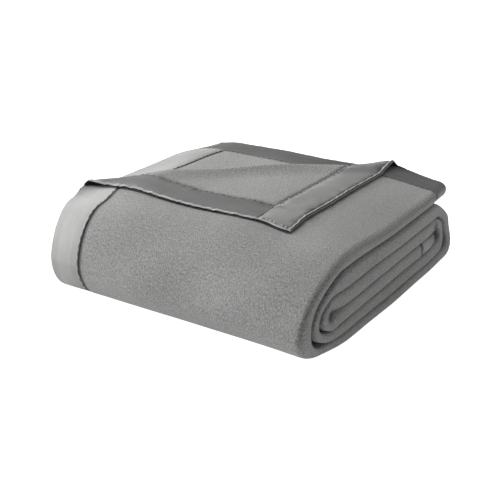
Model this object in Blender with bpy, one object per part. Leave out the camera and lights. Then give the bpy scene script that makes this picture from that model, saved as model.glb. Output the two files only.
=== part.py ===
"""A fleece blanket with satin binding, folded into a strip of four plies and wound into a flat pile.

Each piece is first laid out flat, in sheet coordinates: u runs across the blanket's width, v along its
length and h through its thickness. The flat piece is cut along every crease, and then each of its points
is carried to its folded place. The pieces lie apart on the flat blanket, so they lie apart when folded.

The pile stands on z = 0. X runs from the bound left end to the folded right end, and Y from the round
front to the back. All sizes are in metres.
"""

from bisect import bisect_right
from math import cos, hypot, pi, sin, sqrt

import bmesh
import bpy
from mathutils import Vector

# The blanket as cut and bound
BLANKET_WIDTH = 1.524
BLANKET_LENGTH = 2.350
BINDING_WIDTH = 0.048
FLEECE_THICKNESS = 0.0043
TONGUE_THICKNESS = 0.0013  # the fleece inside the binding, pressed flat by its seams
TAPE_THICKNESS = 0.0007
PIECE_GAP = 0.00045

# The strip: two halvings of the width give four plies
PLY_PITCH = 0.0050
SECOND_EDGE_INSET = 0.005  # the second ply's bound edge, in from the left end
FIRST_FOLD_INSET = 0.008  # the first halving's fold, in from the left end
FOLD_STEPS = 5

# The pile's six layers from the floor up: layer, thickness of the strip
LAYERS = (
    ("outer_bottom", 0.0139),
    ("middle_bottom", 0.0165),
    ("core_bottom", 0.0201),
    ("core_top", 0.0206),
    ("middle_top", 0.0221),
    ("outer_top", 0.0268),
)
LAYER_GAP = 0.0005
TOP_LAYER_END = 0.426  # the strip's outer end, along Y

# The five turns in the order in which the strip passes them. The tip is the strip's middle where the turn
# reaches furthest, and a lead is how far before the tip the turn starts or ends.
TURN_COLUMNS = (
    "from_layer", "to_layer", "tip_y", "tip_z", "lead_in", "lead_out",
    "thickness_in", "thickness_tip", "thickness_out",
)
TURNS = (
    ("outer_top", "outer_bottom", 0.0279, 0.0443, 0.0802, 0.0305, 0.0199, 0.0284, 0.0214),
    ("outer_bottom", "middle_top", 0.4385, 0.0309, 0.0264, 0.0558, 0.0153, 0.0173, 0.0163),
    ("middle_top", "middle_bottom", 0.0558, 0.0494, 0.0513, 0.0325, 0.0161, 0.0216, 0.0174),
    ("middle_bottom", "core_top", 0.4162, 0.0381, 0.0223, 0.0305, 0.0158, 0.0157, 0.0151),
    ("core_top", "core_bottom", 0.0827, 0.0519, 0.0104, 0.0104, 0.0192, 0.0193, 0.0194),
)
RUN_STEPS = 2
QUARTER_TURN_STEPS = 4

# The corner of the top ply, turned back over a diagonal fold
CORNER_SIDE = 0.302  # from the left end to the turned-back corner's tip
CORNER_ROLL = 0.004  # radius of the diagonal fold
CORNER_ROLL_STEPS = 4
CORNER_LIFT = FLEECE_THICKNESS + 0.0008  # between the middles of the two plies, where the corner lies down
CORNER_SETTLE = 0.030  # how far from the fold the corner lies down

# How the whole pile leans: lower at its right end, drawn in at its front left and full at its front right
RIGHT_END_DROP = 0.080
FRONT_LEFT_DRAW = 0.038
FRONT_LEFT_REACH = 0.130
FRONT_RIGHT_SWELL = 0.024
FRONT_RIGHT_REACH = 0.075

COLLECTION_NAME = "folded_fleece_blanket"
FLEECE_LOOK = {"Base Color": (0.30, 0.30, 0.295, 1.0), "Roughness": 0.95, "Sheen Weight": 0.4}
SATIN_LOOK = {"Base Color": (0.26, 0.26, 0.257, 1.0), "Roughness": 0.50, "Sheen Weight": 0.0}
SHARP_ANGLE = pi / 5  # edges sharper than this shade as creases
SAME_PLACE = 1e-7  # points this close to a cut already lie on it

STRIP_THICKNESS = 3 * PLY_PITCH + FLEECE_THICKNESS
OUTER_FOLD_RADIUS = 1.5 * PLY_PITCH
INNER_FOLD_RADIUS = 0.5 * PLY_PITCH
FOLDS_LENGTH = pi * (OUTER_FOLD_RADIUS + 2 * INNER_FOLD_RADIUS)
RIGHT_FOLD_X = (BLANKET_WIDTH - FOLDS_LENGTH + 2 * FIRST_FOLD_INSET + SECOND_EDGE_INSET) / 4
STRIP_WIDTH = RIGHT_FOLD_X + OUTER_FOLD_RADIUS + FLEECE_THICKNESS / 2
DIAGONAL = CORNER_SIDE + pi * CORNER_ROLL / sqrt(2)  # the fold crosses both edges this far from the corner


def layer_middles():
    """The middle height and the thickness of each layer."""
    middles = {}
    height = 0.0
    for layer, thickness in LAYERS:
        middles[layer] = (height + thickness / 2, thickness)
        height += thickness + LAYER_GAP
    return middles


def through(start, middle, end, part):
    """A parabola through three values, at 0, a half and 1."""
    return (
        start * (1 - part) * (1 - 2 * part)
        + middle * 4 * part * (1 - part)
        + end * part * (2 * part - 1)
    )


def quarter_turn(centre_y, tip_z, reach_y, reach_z, angles, thicknesses):
    """Stations on a quarter of an ellipse: y, z, outward normal and thickness. Angle 0 is level with the layer."""
    rows = []
    for step, angle in enumerate(angles):
        normal = Vector((sin(angle) / reach_y, cos(angle) / reach_z)).normalized()
        rows.append((
            centre_y + reach_y * sin(angle),
            tip_z + reach_z * cos(angle),
            normal,
            through(*thicknesses, step / len(angles)),
        ))
    return rows


def strip_stations():
    """Where the middle of the strip passes, from its outer end at the top to its inner end in the core."""
    middles = layer_middles()
    rows = []
    start_y = TOP_LAYER_END
    for turn in TURNS:
        row = dict(zip(TURN_COLUMNS, turn))
        z_in, thick_in = middles[row["from_layer"]]
        z_out, thick_out = middles[row["to_layer"]]
        side = 1 if row["tip_y"] > TOP_LAYER_END / 2 else -1
        centre_in = row["tip_y"] - side * row["lead_in"]
        centre_out = row["tip_y"] - side * row["lead_out"]
        level = Vector((0, 1 if z_in > z_out else -1))
        for step in range(RUN_STEPS):
            y = start_y + (centre_in - start_y) * step / RUN_STEPS
            rows.append((y, z_in, level, thick_in))
        into = [pi / 2 * step / QUARTER_TURN_STEPS for step in range(QUARTER_TURN_STEPS)]
        out = [pi / 2 - angle for angle in into]
        rows += quarter_turn(
            centre_in, row["tip_z"], side * row["lead_in"], z_in - row["tip_z"], into,
            (thick_in, row["thickness_in"], row["thickness_tip"]),
        )
        rows += quarter_turn(
            centre_out, row["tip_z"], side * row["lead_out"], z_out - row["tip_z"], out,
            (row["thickness_tip"], row["thickness_out"], thick_out),
        )
        start_y = centre_out
    rows.append((start_y, z_out, -level, thick_out))
    used = path_lengths(rows)[-1]
    for step in range(1, RUN_STEPS + 1):
        y = start_y + (BLANKET_LENGTH - used) * step / RUN_STEPS
        rows.append((y, z_out, -level, thick_out))
    return rows


def path_lengths(rows):
    """The length of strip from its outer end to each station."""
    lengths = [0.0]
    for before, after in zip(rows, rows[1:]):
        lengths.append(lengths[-1] + hypot(after[0] - before[0], after[1] - before[1]))
    return lengths


STATIONS = strip_stations()
STATION_LENGTHS = path_lengths(STATIONS)


def along_strip(v):
    """The strip's middle, outward normal and thickness, v from its outer end."""
    index = min(max(bisect_right(STATION_LENGTHS, v) - 1, 0), len(STATIONS) - 2)
    before, after = STATIONS[index], STATIONS[index + 1]
    span = STATION_LENGTHS[index + 1] - STATION_LENGTHS[index]
    part = min(max((v - STATION_LENGTHS[index]) / span, 0.0), 1.0)
    y = before[0] + (after[0] - before[0]) * part
    z = before[1] + (after[1] - before[1]) * part
    normal = before[2].lerp(after[2], part).normalized()
    return y, z, normal, before[3] + (after[3] - before[3]) * part


# The strip's section, from the bound edge of the outermost ply: length, and half turns, 1 clockwise
SECTION = (
    (RIGHT_FOLD_X, 0),
    (pi * OUTER_FOLD_RADIUS, 1),
    (RIGHT_FOLD_X - FIRST_FOLD_INSET, 0),
    (pi * INNER_FOLD_RADIUS, 1),
    (RIGHT_FOLD_X - FIRST_FOLD_INSET, 0),
    (pi * INNER_FOLD_RADIUS, -1),
    (RIGHT_FOLD_X - SECOND_EDGE_INSET, 0),
)


def across_strip(u, h):
    """The place in the strip's section, x and n, of a point u from the first bound edge.

    n is the height above the strip's middle in ply pitches times the pitch, given apart from the share
    that comes from h, because a squeezed or swollen strip scales the two differently.
    """
    x, n, heading = 0.0, 1.5 * PLY_PITCH, 0.0
    left = u
    for length, turn in SECTION:
        inside = min(left, length)
        if turn == 0:
            x += inside * cos(heading)
            n += inside * sin(heading)
        else:
            radius = length / pi
            centre_x = x + turn * radius * sin(heading)
            centre_n = n - turn * radius * cos(heading)
            heading -= turn * inside / radius
            x = centre_x - turn * radius * sin(heading)
            n = centre_n + turn * radius * cos(heading)
        left -= inside
        if left <= 0:
            break
    return x, n, -sin(heading) * h, cos(heading) * h


def turn_corner(u, v, h):
    """Rolls the outermost ply's corner over the diagonal fold, still in sheet coordinates."""
    past = (DIAGONAL - u - v) / sqrt(2)
    if past <= 0:
        return u, v, h
    beside = (u - v) / sqrt(2)
    if past < pi * CORNER_ROLL:
        angle = past / CORNER_ROLL
        past = (CORNER_ROLL - h) * sin(angle)
        h = CORNER_ROLL - (CORNER_ROLL - h) * cos(angle)
    else:
        beyond = past - pi * CORNER_ROLL
        lying = min(beyond / CORNER_SETTLE, 1.0)
        h = 2 * CORNER_ROLL + (CORNER_LIFT - 2 * CORNER_ROLL) * lying - h
        past = -beyond
    u = (DIAGONAL / sqrt(2) - past + beside) / sqrt(2)
    v = (DIAGONAL / sqrt(2) - past - beside) / sqrt(2)
    return u, v, h


def lean(x, y, z):
    """The whole pile's lean, which keeps straight lines along X straight."""
    right = x / STRIP_WIDTH
    draw = FRONT_LEFT_DRAW * (1 - right) * max(0.0, 1 - y / FRONT_LEFT_REACH)
    swell = FRONT_RIGHT_SWELL * right * max(0.0, 1 - y / FRONT_RIGHT_REACH) ** 2
    return Vector((x, y + draw - swell, z * (1 - RIGHT_END_DROP * right)))


def folded(point):
    """The folded place of a point of the flat blanket."""
    u, v, h = turn_corner(*point)
    x, n, x_share, n_share = across_strip(u, h)
    y, z, normal, thickness = along_strip(v)
    squeeze = min(1.0, thickness / STRIP_THICKNESS)
    spread = (thickness - FLEECE_THICKNESS * squeeze) / (3 * PLY_PITCH)
    height = spread * n + squeeze * n_share
    return lean(x + squeeze * x_share, y + normal.x * height, z + normal.y * height)


def crease_lines_u():
    """Where the plies bend, across the width."""
    lines = []
    start = 0.0
    for length, turn in SECTION:
        if turn:
            lines += [start + length * step / FOLD_STEPS for step in range(FOLD_STEPS + 1)]
        start += length
    return lines


def cut_across(bm, place, normal, faces=None):
    """Cuts the faces, or all of them, along a plane, and keeps both sides."""
    chosen = set(bm.faces if faces is None else faces)
    edges = {edge for face in chosen for edge in face.edges}
    verts = {vert for face in chosen for vert in face.verts}
    bmesh.ops.bisect_plane(
        bm, geom=[*chosen, *edges, *verts], plane_co=place, plane_no=normal, dist=SAME_PLACE
    )


def cut_creases(bm):
    """Cuts a flat piece along every line where the folded blanket bends."""
    for u in crease_lines_u():
        cut_across(bm, (u, 0, 0), (1, 0, 0))
    for v in STATION_LENGTHS[1:-1]:
        cut_across(bm, (0, v, 0), (0, 1, 0))
    roll = pi * CORNER_ROLL
    lines = [roll * step / CORNER_ROLL_STEPS for step in range(CORNER_ROLL_STEPS + 1)]
    lines.append(roll + CORNER_SETTLE)
    for past in lines:
        place = DIAGONAL / 2 - past / sqrt(2)
        corner = [f for f in bm.faces if min(v.co.x + v.co.y for v in f.verts) < DIAGONAL]
        cut_across(bm, (place, place, 0), (1, 1, 0), corner)


def fold_up(name, bm, material, collection):
    """Cuts a flat piece, carries its points to their folded places and makes it an object."""
    cut_creases(bm)
    bmesh.ops.triangulate(bm, faces=[face for face in bm.faces if len(face.verts) > 4])
    bmesh.ops.recalc_face_normals(bm, faces=bm.faces[:])
    for vert in bm.verts:
        vert.co = folded(vert.co)
    # Twisted quads of neighbouring pieces split the same way, along their shorter diagonal.
    bmesh.ops.triangulate(bm, faces=bm.faces[:], quad_method="SHORT_EDGE")
    # v runs towards the front, so the folded frame is the flat one's mirror image.
    bmesh.ops.reverse_faces(bm, faces=bm.faces[:])
    mesh = bpy.data.meshes.new(name)
    bm.to_mesh(mesh)
    bm.free()
    mesh.materials.append(material)
    mesh.shade_smooth()
    mesh.set_sharp_from_angle(angle=SHARP_ANGLE)
    piece = bpy.data.objects.new(name, mesh)
    collection.objects.link(piece)
    return piece


def flat_slab(low_u, high_u, low_v, high_v, thickness):
    """A flat box of cloth in sheet coordinates."""
    bm = bmesh.new()
    bmesh.ops.create_cube(bm, size=1.0)
    for vert in bm.verts:
        vert.co.x = low_u if vert.co.x < 0 else high_u
        vert.co.y = low_v if vert.co.y < 0 else high_v
        vert.co.z *= thickness
    return bm


def fleece_panel():
    """The fleece, full inside the seams and thin within the binding."""
    margin = TAPE_THICKNESS + PIECE_GAP
    bm = flat_slab(
        margin, BLANKET_WIDTH - margin, margin, BLANKET_LENGTH - margin, TONGUE_THICKNESS
    )
    seam = BINDING_WIDTH
    full = BINDING_WIDTH + 2 * PIECE_GAP  # the fleece reaches its full thickness just past the tape
    for line in (seam, full, BLANKET_WIDTH - full, BLANKET_WIDTH - seam):
        cut_across(bm, (line, 0, 0), (1, 0, 0))
    for line in (seam, full, BLANKET_LENGTH - full, BLANKET_LENGTH - seam):
        cut_across(bm, (0, line, 0), (0, 1, 0))
    for vert in bm.verts:
        from_edge = min(
            vert.co.x, BLANKET_WIDTH - vert.co.x, vert.co.y, BLANKET_LENGTH - vert.co.y
        )
        if from_edge > (seam + full) / 2:
            vert.co.z *= FLEECE_THICKNESS / TONGUE_THICKNESS
    return bm


def binding_section():
    """The tape doubled over a cloth edge: distance in from the edge, and height."""
    inner = TONGUE_THICKNESS / 2 + PIECE_GAP
    outer = inner + TAPE_THICKNESS
    half = [
        (0.0, inner),
        (TAPE_THICKNESS, outer),
        (BINDING_WIDTH, outer),
        (BINDING_WIDTH, inner),
        (TAPE_THICKNESS, inner),
    ]
    return half + [(inward, -height) for inward, height in reversed(half)]


def binding(place, start, end):
    """A length of binding, where place gives the sheet coordinates of (inward, along, height)."""
    bm = bmesh.new()
    profile = [bm.verts.new(place(inward, start, height)) for inward, height in binding_section()]
    face = bm.faces.new(profile)
    grown = bmesh.ops.extrude_face_region(bm, geom=[face])
    for item in grown["geom"]:
        if isinstance(item, bmesh.types.BMVert):
            item.co += Vector(place(0, end, 0)) - Vector(place(0, start, 0))
    return bm


def first_side(inward, along, height):
    return (inward, along, height)


def second_side(inward, along, height):
    return (BLANKET_WIDTH - inward, along, height)


def outer_end(inward, along, height):
    return (along, inward, height)


def inner_end(inward, along, height):
    return (along, BLANKET_LENGTH - inward, height)


def cloth_material(name, look):
    material = bpy.data.materials.new(name)
    material.use_nodes = True
    shader = material.node_tree.nodes["Principled BSDF"]
    for setting, value in look.items():
        shader.inputs[setting].default_value = value
    shader.inputs["Metallic"].default_value = 0.0
    return material


def stand_on_origin(pieces):
    """Moves the pile so that the middle of its bounding box's base is the origin."""
    points = [vert.co for piece in pieces for vert in piece.data.vertices]
    low = [min(point[axis] for point in points) for axis in range(3)]
    high = [max(point[axis] for point in points) for axis in range(3)]
    shift = Vector((-(low[0] + high[0]) / 2, -(low[1] + high[1]) / 2, -low[2]))
    for point in points:
        point += shift


def main():
    for obj in list(bpy.data.objects):
        bpy.data.objects.remove(obj, do_unlink=True)
    collection = bpy.data.collections.new(COLLECTION_NAME)
    bpy.context.scene.collection.children.link(collection)
    fleece = cloth_material("fleece_grey", FLEECE_LOOK)
    satin = cloth_material("satin_grey", SATIN_LOOK)
    side_start = BINDING_WIDTH + PIECE_GAP
    side_end = BLANKET_LENGTH - side_start
    flat_pieces = (
        ("fleece_panel", fleece_panel(), fleece),
        ("side_binding_outer_ply", binding(first_side, side_start, side_end), satin),
        ("side_binding_second_ply", binding(second_side, side_start, side_end), satin),
        ("end_binding_top", binding(outer_end, 0, BLANKET_WIDTH), satin),
        ("end_binding_core", binding(inner_end, 0, BLANKET_WIDTH), satin),
    )
    pieces = [fold_up(name, bm, material, collection) for name, bm, material in flat_pieces]
    stand_on_origin(pieces)


main()
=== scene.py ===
# %% [markdown]
# # A folded fleece blanket with satin binding
#
# The real object is one large piece of plush fleece whose four edges are bound with satin tape. It is
# folded lengthwise into a strip of four plies, and the strip is wound into a flat pile. One corner of the
# top ply is turned back, so that the bound edges show.
#
# Such a pile could be settled by a cloth simulation, but twenty-four plies that press on each other take
# long to settle and are hard to steer. Here each piece is cut flat, as a maker cuts it, and a fold function
# carries each of its points to its place in the pile. So the pieces never cut through each other, and every
# crease can be placed by hand.

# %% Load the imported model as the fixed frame
from math import cos, pi, radians, sin, sqrt

import bmesh
import bpy
import numpy as np
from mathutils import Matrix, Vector


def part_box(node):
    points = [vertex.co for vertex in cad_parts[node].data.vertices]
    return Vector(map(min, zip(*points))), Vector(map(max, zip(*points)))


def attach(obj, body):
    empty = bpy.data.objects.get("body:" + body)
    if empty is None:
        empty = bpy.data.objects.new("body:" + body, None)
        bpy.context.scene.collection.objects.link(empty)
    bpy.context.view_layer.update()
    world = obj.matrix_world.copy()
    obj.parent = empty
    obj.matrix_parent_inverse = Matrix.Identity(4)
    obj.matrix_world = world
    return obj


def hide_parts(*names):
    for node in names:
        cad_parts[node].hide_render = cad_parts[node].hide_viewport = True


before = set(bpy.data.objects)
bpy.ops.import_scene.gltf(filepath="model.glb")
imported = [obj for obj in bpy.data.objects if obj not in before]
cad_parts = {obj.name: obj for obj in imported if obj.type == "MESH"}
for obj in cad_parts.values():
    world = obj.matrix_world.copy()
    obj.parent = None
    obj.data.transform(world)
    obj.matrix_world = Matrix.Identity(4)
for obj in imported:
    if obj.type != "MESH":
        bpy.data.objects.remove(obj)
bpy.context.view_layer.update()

# %% [markdown]
# ## Sizes as cut
#
# These are the sizes a maker would write on the order. Under the binding the pile of the fleece is
# flattened to a thin tongue. All later shapes are worked out from these numbers, so a change here carries
# through the whole pile.

# %% The blanket as cut and bound, in metres
WIDTH = 1.524
LENGTH = 2.35
BINDING_WIDTH = 0.048
FLEECE_THICKNESS = 0.0043
TONGUE_THICKNESS = 0.0013
TAPE_THICKNESS = 0.0007
PIECE_GAP = 0.00045


def metres(*rows):
    """A table in metres, from rows in millimetres."""
    return np.array(rows) / 1000


print("the flat blanket:", WIDTH, "x", LENGTH, "m")

# %% [markdown]
# ## The strip of four plies
#
# Folded lengthwise, the blanket makes one wide outer fold on the right and two tighter folds inside it.
# The section below lists them in order from the first bound edge, each as a length of cloth and the way
# it turns. The strip's width follows from the blanket's width, because all the cloth has to be used up.

# %% The strip's section
PLY_PITCH = 0.005
SECOND_EDGE_INSET = 0.005
FIRST_FOLD_INSET = 0.008
OUTER_FOLD_RADIUS = 1.5 * PLY_PITCH
INNER_FOLD_RADIUS = 0.5 * PLY_PITCH
FOLDS_LENGTH = pi * (OUTER_FOLD_RADIUS + 2 * INNER_FOLD_RADIUS)
RIGHT_FOLD_X = (WIDTH - FOLDS_LENGTH + 2 * FIRST_FOLD_INSET + SECOND_EDGE_INSET) / 4
STRIP_WIDTH = RIGHT_FOLD_X + OUTER_FOLD_RADIUS + FLEECE_THICKNESS / 2
STRIP_THICKNESS = 3 * PLY_PITCH + FLEECE_THICKNESS
SECTION = (  # length of cloth, turn (1 clockwise, -1 the other way, 0 straight)
    (RIGHT_FOLD_X, 0),
    (pi * OUTER_FOLD_RADIUS, 1),
    (RIGHT_FOLD_X - FIRST_FOLD_INSET, 0),
    (pi * INNER_FOLD_RADIUS, 1),
    (RIGHT_FOLD_X - FIRST_FOLD_INSET, 0),
    (pi * INNER_FOLD_RADIUS, -1),
    (RIGHT_FOLD_X - SECOND_EDGE_INSET, 0),
)


def across_strip(u):
    """Where a distance u across the flat blanket lies in the section, and which way its face looks."""
    x = np.minimum(u, 0.0)
    height = np.full_like(u, OUTER_FOLD_RADIUS)
    heading = np.zeros_like(u)
    left = u
    for length, turn in SECTION:
        inside = np.clip(left, 0, length)
        if turn:
            radius = length / pi
            centre_x = x + turn * radius * np.sin(heading)
            centre_height = height - turn * radius * np.cos(heading)
            heading = heading - turn * inside / radius
            x = centre_x - turn * radius * np.sin(heading)
            height = centre_height + turn * radius * np.cos(heading)
        else:
            x = x + inside * np.cos(heading)
            height = height + inside * np.sin(heading)
        left = left - inside
    return x, height, -np.sin(heading), np.cos(heading)


print("strip, mm:", round(1000 * STRIP_WIDTH, 1), "x", round(1000 * STRIP_THICKNESS, 1))

# %% [markdown]
# ## Winding the strip
#
# The strip starts as the top layer, turns down at the front, runs along the floor, and winds inwards. Each
# turn is two quarter ellipses that meet at its tip. Their leads say how blunt the turn is. A spiral formula
# would be shorter, but a real pile slumps differently at each turn, so each turn has its own row.

# %% The layers and turns
LAYERS = (0.0139, 0.0165, 0.0201, 0.0206, 0.0221, 0.0268)  # thicknesses from the floor up
WINDING = (5, 0, 4, 1, 3, 2)  # the order in which the strip runs through the layers
LAYER_GAP = 0.0005
TOP_LAYER_END = 0.426
TOP_Z = sum(LAYERS) + LAYER_GAP * (len(LAYERS) - 1)
TURNS = (  # the tip's y and z, leads in and out, thickness going in, at the tip and coming out
    (0.0279, 0.0443, 0.0802, 0.0305, 0.0199, 0.0284, 0.0214),
    (0.4385, 0.0309, 0.0264, 0.0558, 0.0153, 0.0173, 0.0163),
    (0.0558, 0.0494, 0.0513, 0.0325, 0.0161, 0.0216, 0.0174),
    (0.4162, 0.0381, 0.0223, 0.0305, 0.0158, 0.0157, 0.0151),
    (0.0827, 0.0519, 0.0104, 0.0104, 0.0192, 0.0193, 0.0194),
)


def layer_middle(layer):
    """The middle height of one layer."""
    return sum(LAYERS[:layer]) + layer * LAYER_GAP + LAYERS[layer] / 2


print("the top before it settles, mm:", round(1000 * TOP_Z, 1))

# %% The path of the strip
STEP = 0.004
QUARTER_STEPS = 16


def through(start, middle, end, part):
    """A value that passes through all three at parts 0, a half and 1."""
    from_start = start * (1 - part) * (1 - 2 * part)
    return from_start + middle * 4 * part * (1 - part) + end * part * (2 * part - 1)


def run(start_y, end_y, z, facing, thickness):
    """Rows of y, z, normal y, normal z and thickness along a level run of the strip."""
    steps = max(2, round(abs(end_y - start_y) / STEP))
    part = np.arange(steps) / steps
    ones = np.ones(steps)
    return np.stack([
        start_y + (end_y - start_y) * part, z * ones, 0 * ones, facing * ones, thickness * ones,
    ], axis=1)


def quarter_turn(centre_y, tip_z, reach_y, reach_z, going_out, thicknesses):
    """The same rows for a quarter ellipse that leads to a turn's tip, or away from it."""
    part = np.arange(QUARTER_STEPS) / QUARTER_STEPS
    angle = pi / 2 * (1 - part if going_out else part)
    normal = np.stack([np.sin(angle) / reach_y, np.cos(angle) / reach_z])
    normal /= np.hypot(*normal)
    return np.stack([
        centre_y + reach_y * np.sin(angle), tip_z + reach_z * np.cos(angle), *normal,
        through(*thicknesses, part),
    ], axis=1)


def step_lengths(path):
    """The distance from each row of a path to the next."""
    return np.hypot(*np.diff(path[:, :2], axis=0).T)


def strip_path():
    """The rows of the whole path, and the number of the row at which each of its parts starts."""
    parts = []
    start_y = TOP_LAYER_END
    for layer_in, layer_out, turn in zip(WINDING, WINDING[1:], TURNS):
        tip_y, tip_z, lead_in, lead_out, going_in, at_tip, coming_out = turn
        z_in, thick_in = layer_middle(layer_in), LAYERS[layer_in]
        z_out, thick_out = layer_middle(layer_out), LAYERS[layer_out]
        side = 1 if tip_y > TOP_LAYER_END / 2 else -1
        reach_in, reach_out = side * lead_in, side * lead_out
        centre_in, centre_out = tip_y - reach_in, tip_y - reach_out
        facing = 1 if z_in > z_out else -1
        thick_before, thick_after = (thick_in, going_in, at_tip), (at_tip, coming_out, thick_out)
        parts.append(run(start_y, centre_in, z_in, facing, thick_in))
        parts.append(quarter_turn(centre_in, tip_z, reach_in, z_in - tip_z, False, thick_before))
        parts.append(quarter_turn(centre_out, tip_z, reach_out, z_out - tip_z, True, thick_after))
        start_y = centre_out
    wound = np.concatenate(parts)
    rest = LENGTH - step_lengths(wound).sum()
    parts.append(run(start_y, start_y + rest, z_out, -facing, thick_out))
    parts.append(np.array([[start_y + rest, z_out, 0, -facing, thick_out]]))
    starts = np.cumsum([0] + [len(part) for part in parts[:-1]])
    return np.concatenate(parts), starts


PATH, PART_STARTS = strip_path()
PATH_LENGTHS = np.concatenate([[0], np.cumsum(step_lengths(PATH))])
PART_LENGTHS = PATH_LENGTHS[PART_STARTS]  # each run is followed by the two quarters of its turn


def along_strip(v):
    """The path's y, z, normal and thickness at a distance v from the blanket's outer end."""
    y, z, normal_y, normal_z, thickness = (np.interp(v, PATH_LENGTHS, column) for column in PATH.T)
    size = np.hypot(normal_y, normal_z)
    return y, z, normal_y / size, normal_z / size, thickness


print("path, m:", round(PATH_LENGTHS[-1], 4), "inner end at y", round(PATH[-1, 0], 4))

# %% [markdown]
# ## Turning back the corner
#
# The corner of the top ply is rolled over a diagonal line and laid back on the ply. It is a true bend: a
# point past the line goes half-way round a small roll and then lies upside down. The flap settles onto the
# cloth below over a few centimetres, which leaves the soft ridge. The end of the real tape is sewn on a
# little askew, so its tip sticks out.

# %% The turned-back corner
CORNER_SIDE = 0.302
CORNER_ROLL = 0.004
CORNER_LIFT = FLEECE_THICKNESS + 0.0008
CORNER_SETTLE = 0.03
DIAGONAL = CORNER_SIDE + pi * CORNER_ROLL / sqrt(2)
TIP_SKEW = 0.013
TIP_REACH = 0.07


def smooth_rise(value, start, end):
    """0 before the start, 1 past the end, and a soft rise between."""
    part = np.clip((value - start) / (end - start), 0, 1)
    return part * part * (3 - 2 * part)


def pull_tip(u, v):
    """Draws the corner of the flat blanket out along its first side."""
    near_end = 1 - smooth_rise(v, 0, BINDING_WIDTH)
    near_side = np.maximum(0.0, 1 - u / TIP_REACH) ** 2
    return u - TIP_SKEW * near_end * near_side


def turn_corner(u, v, h):
    """Rolls the part of the flat blanket past the diagonal over, and lays it on the rest."""
    past = (DIAGONAL - u - v) / sqrt(2)
    sideways = (u - v) / sqrt(2)
    angle = np.clip(past / CORNER_ROLL, 0, pi)
    beyond = np.maximum(past - pi * CORNER_ROLL, 0)
    settled = (CORNER_LIFT - 2 * CORNER_ROLL) * smooth_rise(beyond, 0, CORNER_SETTLE)
    new_past = np.minimum(past, 0) + (CORNER_ROLL - h) * np.sin(angle) - beyond
    new_h = CORNER_ROLL - (CORNER_ROLL - h) * np.cos(angle) + settled
    middle = DIAGONAL / sqrt(2) - new_past
    return (middle + sideways) / sqrt(2), (middle - sideways) / sqrt(2), new_h


print("the corner turns back", round(1000 * CORNER_SIDE), "mm along each edge")

# %% [markdown]
# ## Unevenness
#
# Cloth that follows a formula looks stiff. Smooth waves in seeded random directions give an unevenness
# that is the same on each run. They move space itself, not one piece, so cloths that lie on each other
# move together.

# %% Gentle waves
WAVE_COUNT = 7
WAVE_SPREAD = (0.7, 1.5)


def gentle_waves(places, wavelength, seed):
    """Smooth unevenness, mostly within -1 and 1, at each row of places."""
    places = np.asarray(places, float)
    random = np.random.default_rng(seed)
    total = np.zeros(len(places))
    for _ in range(WAVE_COUNT):
        direction = random.normal(size=places.shape[1])
        direction *= 2 * pi / (wavelength * random.uniform(*WAVE_SPREAD) * np.linalg.norm(direction))
        total += np.sin(places @ direction + random.uniform(0, 2 * pi))
    return total / sqrt(WAVE_COUNT)


def bell(along, across):
    """1 in the middle of a hump, and fading away all round it."""
    return np.exp(-along ** 2 - across ** 2)


print("waves at three places:", gentle_waves([[0, 0], [0.01, 0], [0.02, 0]], 0.05, 1).round(2))

# %% Puckers along the seams
PUCKER_DEPTH = 0.0005
PUCKER_SIDEWAYS = 0.0007
PUCKER_REACH = 0.01
FINE_PUCKERS, BROAD_PUCKERS = 0.009, 0.028
BROAD_SHARE = 0.6
PUCKER_STRETCH = 0.4  # puckers are longer across the edge than along it
HELD_PUCKER = 0.25  # share of the puckering that is left where the cloth is pulled flat by the pile
LOOSE_FADE = 0.04


def edge_pucker(along, inward):
    """How far the sewing of one bound edge lifts the cloth there, and draws it inwards."""
    places = np.stack([along, PUCKER_STRETCH * inward], axis=1)
    fine = gentle_waves(places, FINE_PUCKERS, 11)
    broad = gentle_waves(places, BROAD_PUCKERS, 12)
    at_edge, at_seam = (bell((inward - at) / PUCKER_REACH, 0) for at in (0, BINDING_WIDTH))
    lift = PUCKER_DEPTH * (at_edge + at_seam) * (fine + BROAD_SHARE * broad)
    return np.stack([lift, PUCKER_SIDEWAYS * at_edge * broad])


def pucker(u, v, h):
    """Draws the flat cloth up and in along its four bound edges, most of all on the loose corner."""
    loose = HELD_PUCKER + (1 - HELD_PUCKER) * (1 - smooth_rise(u + v, DIAGONAL, DIAGONAL + LOOSE_FADE))
    first, second = loose * edge_pucker(v, u), loose * edge_pucker(v, WIDTH - u)
    outer, inner = loose * edge_pucker(u, v), loose * edge_pucker(u, LENGTH - v)
    lift = (first + second + outer + inner)[0]
    return u + (first - second)[1], v + (outer - inner)[1], h + lift


print("puckers stand", 1000 * PUCKER_DEPTH, "mm up")

# %% [markdown]
# ## How the pile lies
#
# The right end of the pile has sunk a little, its front bulges out at the right and is drawn in at the
# left, and the folded end is squarer than half circles would be, because the layers press each other
# flat. Formulas do this for the whole pile, and the tables after them place each hump and sag.

# %% How the pile leans
RIGHT_END_DROP = 0.080
FRONT_LEFT_DRAW, FRONT_LEFT_REACH = 0.038, 0.130
FRONT_RIGHT_SWELL, FRONT_RIGHT_REACH = 0.024, 0.075
FRONT_FOOT_DRAW = 0.45
OUTER_SQUARENESS, INNER_SQUARENESS = 2.1, 4.4
TINY = 1e-9
BOTTOM_TUCK = 0.010
BOTTOM_TUCK_HEIGHT, BOTTOM_TUCK_REACH = 0.030, 0.110
BOTTOM_TUCK_FADE = (RIGHT_FOLD_X - 0.02, RIGHT_FOLD_X + 0.01)
BACK_TURN_HALF = 0.0085  # half the thickness of the cloth at the back turn

fleece_low, fleece_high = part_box("fleece_panel")
PILE_X = fleece_high.x - STRIP_WIDTH
PILE_Y = fleece_high.y - PATH[:, 0].max() - BACK_TURN_HALF


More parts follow.
